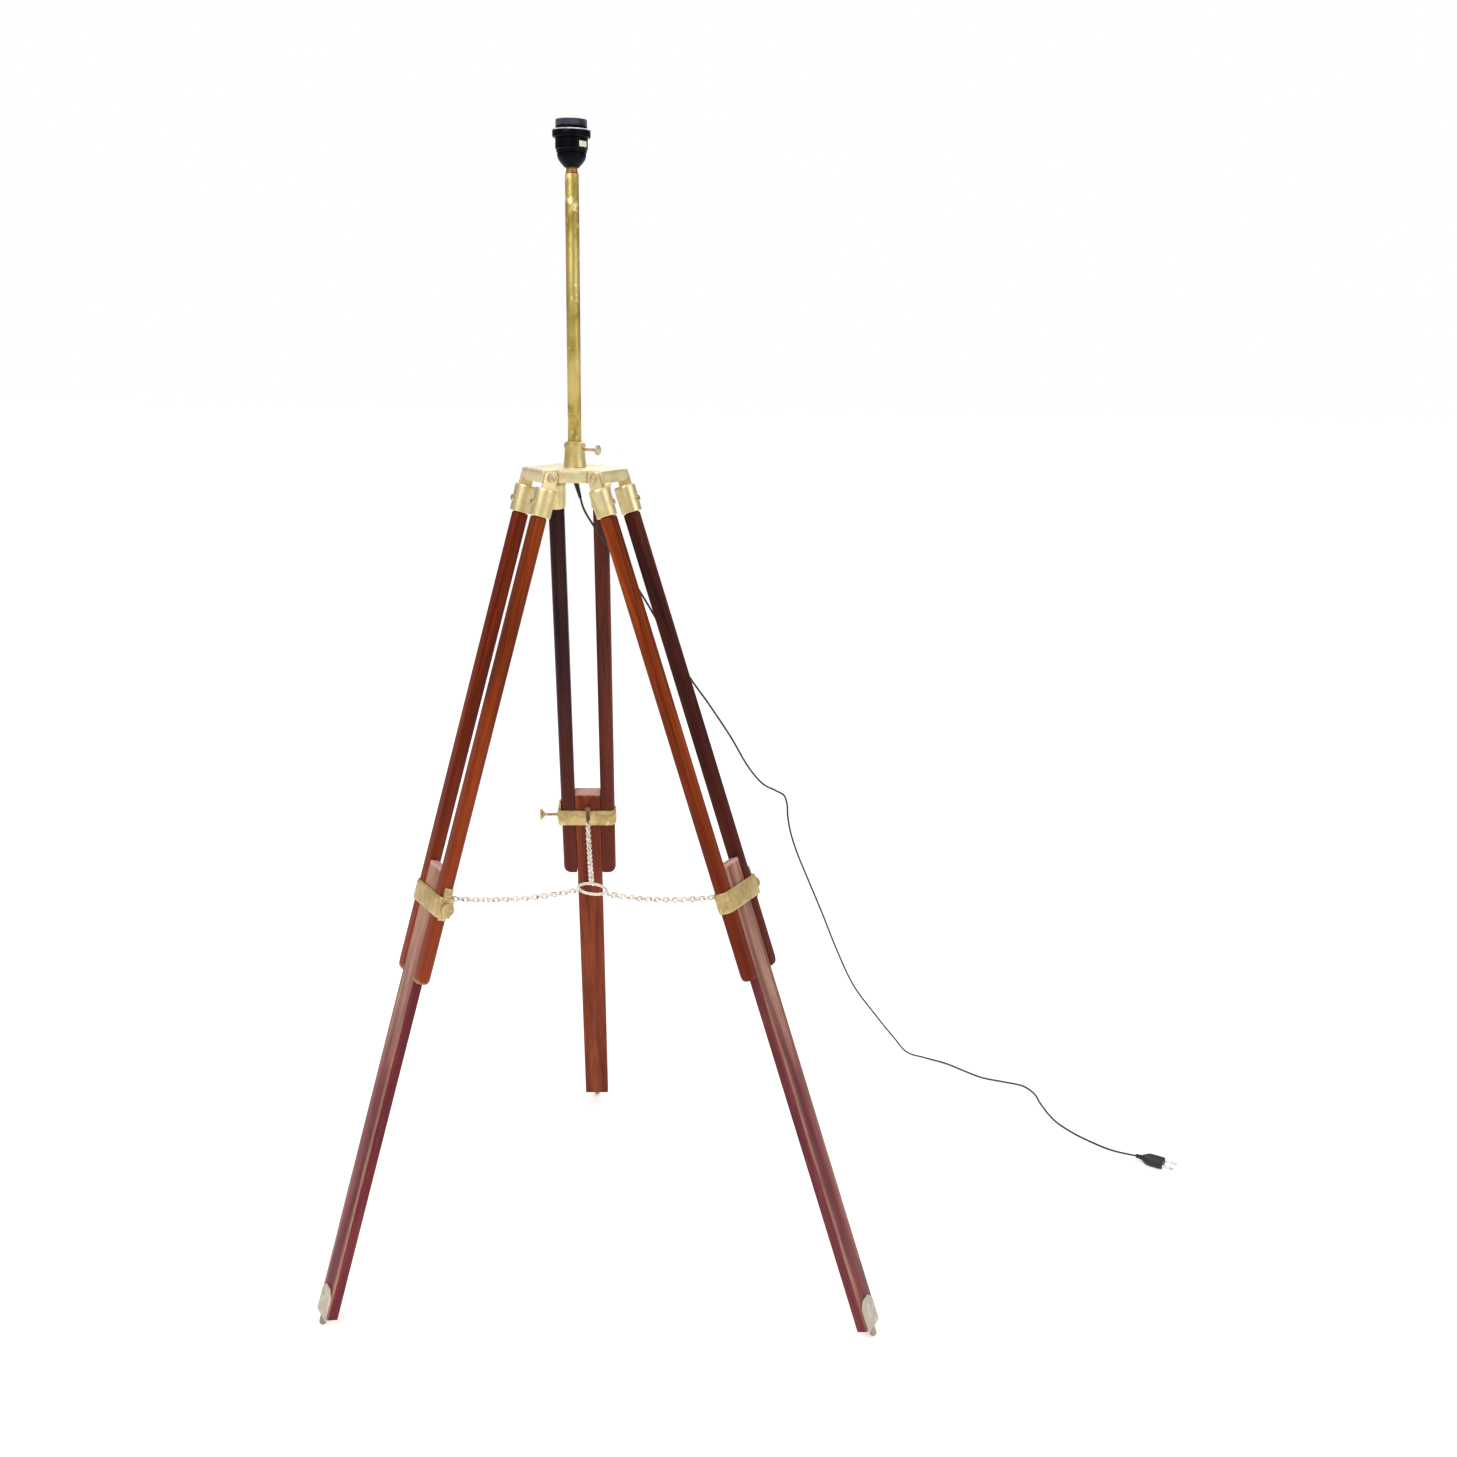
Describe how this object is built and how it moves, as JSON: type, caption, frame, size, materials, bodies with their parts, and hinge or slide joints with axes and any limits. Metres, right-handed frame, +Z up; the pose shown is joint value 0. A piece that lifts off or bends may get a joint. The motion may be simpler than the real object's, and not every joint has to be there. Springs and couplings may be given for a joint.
{
  "type": "tripod floor lamp",
  "caption": "Floor lamp on a surveyor-style wooden tripod: brass head and pole, screw lampholder, extending two-part legs with strap clamps, chain spreader and a long mains lead.",
  "frame": {"origin": "on the floor under the middle of the bounding box, the lead and plug left out", "axes": "+Z up; +Y towards the back leg, leg_c; +X to the right of a viewer facing the lamp from the front, the side the lead falls to"},
  "size_m": [1.3206, 0.8165, 1.571],
  "materials": {
    "brass": "satin, lightly worn",
    "aged_brass": "aged, mottled, olive-gold",
    "strap_brass": "mottled, greenish",
    "copper_brass": "aged, coppery",
    "nickel": "pale nickel plate",
    "stave_wood": "glossy mahogany varnish",
    "slider_wood": "glossy red-brown varnish",
    "bakelite": "near-black, moulded",
    "white_ceramic": "glazed",
    "steel": "worn grey-beige",
    "black_rubber": "matte"
  },
  "bodies": {
    "head": {"head_plate": "brass", "pole_collar": "brass", "cord_bush": "black_rubber", "mains_cord": "black_rubber", "plug_body": "black_rubber", "plug_pin_left": "nickel", "plug_pin_right": "nickel", "leg_a_pivot_screw_left": "copper_brass", "leg_a_pivot_screw_right": "copper_brass", "leg_b_pivot_screw_left": "copper_brass", "leg_b_pivot_screw_right": "copper_brass", "leg_c_pivot_screw_left": "copper_brass", "leg_c_pivot_screw_right": "copper_brass"},
    "pole": {"brass_pole": "aged_brass", "pole_lead": "black_rubber", "pole_nipple": "copper_brass", "holder_cap": "bakelite", "holder_body": "bakelite", "holder_insert": "white_ceramic", "screw_shell": "brass", "centre_contact": "brass"},
    "shade_ring": {"shade_ring": "bakelite"},
    "collar_thumbscrew": {"collar_thumbscrew": "copper_brass"},
    "spreader_ring": {"spreader_ring": "nickel"},
    "leg_a": {"leg_a_stave_left": "stave_wood", "leg_a_stave_right": "stave_wood", "leg_a_ferrule_left": "brass", "leg_a_ferrule_right": "brass", "leg_a_clamp_strap": "strap_brass", "leg_a_clamp_pad": "brass", "leg_a_chain_hook": "copper_brass"},
    "leg_a_slider": {"leg_a_slider": "slider_wood", "leg_a_foot_shoe": "steel", "leg_a_foot_peg": "steel"},
    "leg_a_clamp_screw": {"leg_a_clamp_screw": "brass"},
    "leg_a_chain": {"leg_a_chain": "nickel"},
    "leg_b": {"leg_b_stave_left": "stave_wood", "leg_b_stave_right": "stave_wood", "leg_b_ferrule_left": "brass", "leg_b_ferrule_right": "brass", "leg_b_clamp_strap": "strap_brass", "leg_b_clamp_pad": "brass", "leg_b_chain_hook": "copper_brass"},
    "leg_b_slider": {"leg_b_slider": "slider_wood", "leg_b_foot_shoe": "steel", "leg_b_foot_peg": "steel"},
    "leg_b_clamp_screw": {"leg_b_clamp_screw": "brass"},
    "leg_b_chain": {"leg_b_chain": "nickel"},
    "leg_c": {"leg_c_stave_left": "stave_wood", "leg_c_stave_right": "stave_wood", "leg_c_ferrule_left": "brass", "leg_c_ferrule_right": "brass", "leg_c_clamp_strap": "strap_brass", "leg_c_clamp_pad": "brass", "leg_c_chain_hook": "copper_brass"},
    "leg_c_slider": {"leg_c_slider": "slider_wood", "leg_c_foot_shoe": "steel", "leg_c_foot_peg": "steel"},
    "leg_c_clamp_screw": {"leg_c_clamp_screw": "brass"},
    "leg_c_chain": {"leg_c_chain": "nickel"}
  },
  "joints": [
    {"name": "pole_lift", "type": "slide", "parent": "head", "child": "pole", "axis": [0, 0, 1], "range_m": [0, 0.035]},
    {"name": "collar_screw", "type": "hinge", "parent": "head", "child": "collar_thumbscrew", "pos_m": [-0.01428, -0.1053, 1.1693], "axis": [0.866, -0.5, 0], "range_deg": [0, 450]},
    {"name": "shade_ring_spin", "type": "hinge", "parent": "pole", "child": "shade_ring", "pos_m": [-0.0316, -0.0953, 1.555], "axis": [0, 0, 1], "continuous": true},
    {"name": "leg_a_fold", "type": "hinge", "parent": "head", "child": "leg_a", "pos_m": [-0.0762, -0.12105, 1.136], "axis": [0.5, -0.866, 0], "range_deg": [0, 16], "deforming": ["leg_a_chain"]},
    {"name": "leg_b_fold", "type": "hinge", "parent": "head", "child": "leg_b", "pos_m": [0.013, -0.12105, 1.136], "axis": [0.5, 0.866, 0], "range_deg": [0, 19.21], "deforming": ["leg_b_chain"]},
    {"name": "leg_c_fold", "type": "hinge", "parent": "head", "child": "leg_c", "pos_m": [-0.0316, -0.0438, 1.136], "axis": [-1, 0, 0], "range_deg": [0, 17.78], "deforming": ["leg_c_chain"]},
    {"name": "leg_a_slider_travel", "type": "slide", "parent": "leg_a", "child": "leg_a_slider", "axis": [0.2496, 0.1441, 0.9576], "range_m": [-0.03, 0.44]},
    {"name": "leg_a_clamp_turn", "type": "hinge", "parent": "leg_a", "child": "leg_a_clamp_screw", "pos_m": [-0.19446, -0.24706, 0.58635], "axis": [0.5, -0.866, 0], "range_deg": [0, 540]},
    {"name": "leg_b_slider_travel", "type": "slide", "parent": "leg_b", "child": "leg_b_slider", "axis": [-0.2976, 0.1718, 0.9391], "range_m": [-0.03, 0.44]},
    {"name": "leg_b_clamp_turn", "type": "hinge", "parent": "leg_b", "child": "leg_b_clamp_screw", "pos_m": [0.20883, -0.17638, 0.59696], "axis": [0.5, 0.866, 0], "range_deg": [0, 540]},
    {"name": "leg_c_slider_travel", "type": "slide", "parent": "leg_c", "child": "leg_c_slider", "axis": [0, -0.319, 0.9478], "range_m": [-0.03, 0.44]},
    {"name": "leg_c_clamp_turn", "type": "hinge", "parent": "leg_c", "child": "leg_c_clamp_screw", "pos_m": [-0.0816, 0.13928, 0.59198], "axis": [-1, 0, 0], "range_deg": [0, 540]},
    {"name": "leg_a_chain_swing", "type": "hinge", "parent": "leg_a", "child": "leg_a_chain", "pos_m": [-0.20122, -0.19323, 0.58106], "axis": [-0.4648, 0.8853, 0.0148], "range_deg": [0, 94.31]},
    {"name": "leg_b_chain_swing", "type": "hinge", "parent": "leg_b", "child": "leg_b_chain", "pos_m": [0.16589, -0.20932, 0.59044], "axis": [-0.5458, -0.8359, 0.058], "range_deg": [0, 91.87]},
    {"name": "leg_c_chain_swing", "type": "hinge", "parent": "leg_c", "child": "leg_c_chain", "pos_m": [-0.0316, 0.1184, 0.58601], "axis": [0.9952, 0.0887, -0.0422], "range_deg": [0, 93.12]},
    {"name": "spreader_ring_drop", "type": "slide", "parent": "head", "child": "spreader_ring", "axis": [-0.095, -0.0053, -0.9955], "range_m": [0, 0.18969]}
  ],
  "couplings": [
    {"joint": "leg_b_fold", "follows": "leg_a_fold", "ratio": 1.2},
    {"joint": "leg_c_fold", "follows": "leg_a_fold", "ratio": 1.1104},
    {"joint": "leg_a_chain_swing", "follows": "leg_a_fold", "ratio": 5.893},
    {"joint": "leg_b_chain_swing", "follows": "leg_a_fold", "ratio": 5.7409},
    {"joint": "leg_c_chain_swing", "follows": "leg_a_fold", "ratio": 5.8186},
    {"joint": "spreader_ring_drop", "follows": "leg_a_fold", "m_per_rad": 0.67856}
  ]
}
